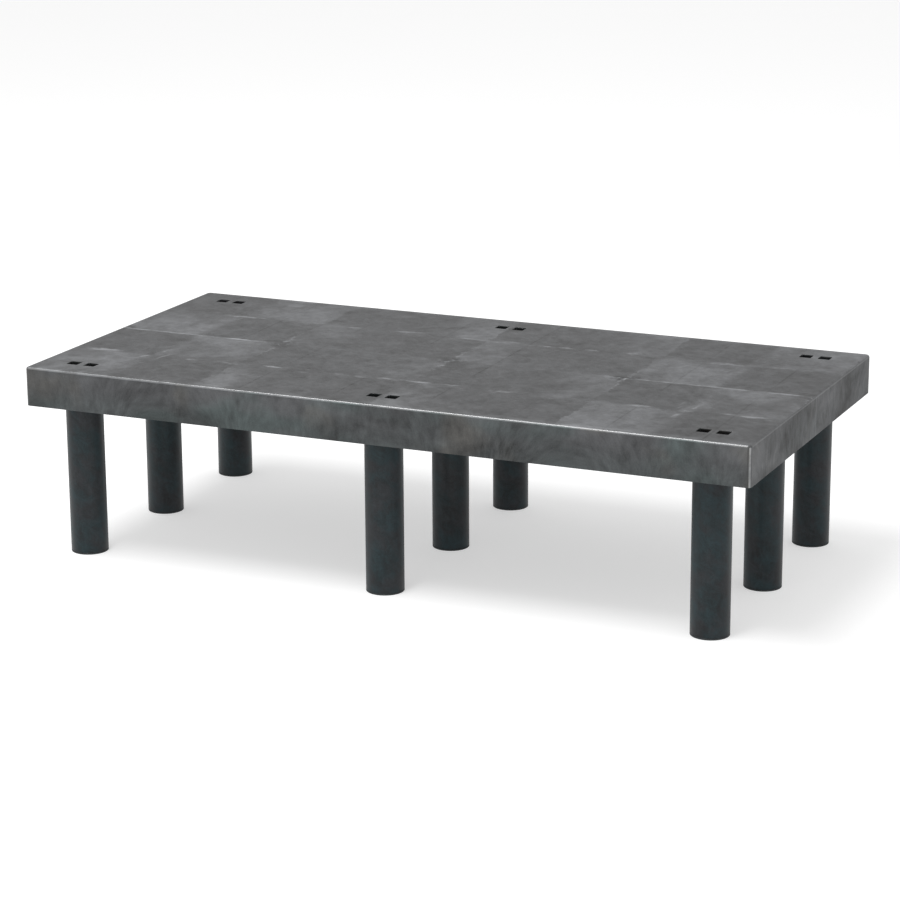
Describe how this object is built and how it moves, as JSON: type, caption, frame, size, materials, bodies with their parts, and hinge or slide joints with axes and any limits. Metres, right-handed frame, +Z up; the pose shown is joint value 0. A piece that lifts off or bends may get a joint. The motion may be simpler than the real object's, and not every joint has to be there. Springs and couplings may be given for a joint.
{
  "type": "stage riser platform",
  "caption": "Low rectangular stage riser: a flat moulded plastic deck with a shallow skirt and square joining holes, standing on round push-fit legs.",
  "frame": {"origin": "on the floor, at the centre of the platform's footprint, directly below the middle of the deck", "axes": "+X along the deck's length to the viewer's right, +Y across the deck to the rear, +Z up"},
  "size_m": [1.2192, 0.6096, 0.312],
  "materials": {
    "deck_plastic": "satin charcoal structural-foam moulding with swirled flow marks",
    "leg_plastic": "satin black extruded tube",
    "foot_cap_plastic": "dull black moulded cap"
  },
  "bodies": {
    "deck_body": {"deck": "deck_plastic"},
    "leg_front_left": {"leg_tube_front_left": "leg_plastic", "foot_cap_front_left": "foot_cap_plastic"},
    "leg_front_centre": {"leg_tube_front_centre": "leg_plastic", "foot_cap_front_centre": "foot_cap_plastic"},
    "leg_front_right": {"leg_tube_front_right": "leg_plastic", "foot_cap_front_right": "foot_cap_plastic"},
    "leg_middle_left": {"leg_tube_middle_left": "leg_plastic", "foot_cap_middle_left": "foot_cap_plastic"},
    "leg_middle_centre": {"leg_tube_middle_centre": "leg_plastic", "foot_cap_middle_centre": "foot_cap_plastic"},
    "leg_middle_right": {"leg_tube_middle_right": "leg_plastic", "foot_cap_middle_right": "foot_cap_plastic"},
    "leg_rear_left": {"leg_tube_rear_left": "leg_plastic", "foot_cap_rear_left": "foot_cap_plastic"},
    "leg_rear_centre": {"leg_tube_rear_centre": "leg_plastic", "foot_cap_rear_centre": "foot_cap_plastic"},
    "leg_rear_right": {"leg_tube_rear_right": "leg_plastic", "foot_cap_rear_right": "foot_cap_plastic"}
  },
  "joints": [
    {"name": "pull_leg_front_left", "type": "slide", "parent": "deck_body", "child": "leg_front_left", "axis": [0, 0, -1], "range_m": [0, 0.05]},
    {"name": "pull_leg_front_centre", "type": "slide", "parent": "deck_body", "child": "leg_front_centre", "axis": [0, 0, -1], "range_m": [0, 0.05]},
    {"name": "pull_leg_front_right", "type": "slide", "parent": "deck_body", "child": "leg_front_right", "axis": [0, 0, -1], "range_m": [0, 0.05]},
    {"name": "pull_leg_middle_left", "type": "slide", "parent": "deck_body", "child": "leg_middle_left", "axis": [0, 0, -1], "range_m": [0, 0.05]},
    {"name": "pull_leg_middle_centre", "type": "slide", "parent": "deck_body", "child": "leg_middle_centre", "axis": [0, 0, -1], "range_m": [0, 0.05]},
    {"name": "pull_leg_middle_right", "type": "slide", "parent": "deck_body", "child": "leg_middle_right", "axis": [0, 0, -1], "range_m": [0, 0.05]},
    {"name": "pull_leg_rear_left", "type": "slide", "parent": "deck_body", "child": "leg_rear_left", "axis": [0, 0, -1], "range_m": [0, 0.05]},
    {"name": "pull_leg_rear_centre", "type": "slide", "parent": "deck_body", "child": "leg_rear_centre", "axis": [0, 0, -1], "range_m": [0, 0.05]},
    {"name": "pull_leg_rear_right", "type": "slide", "parent": "deck_body", "child": "leg_rear_right", "axis": [0, 0, -1], "range_m": [0, 0.05]}
  ]
}
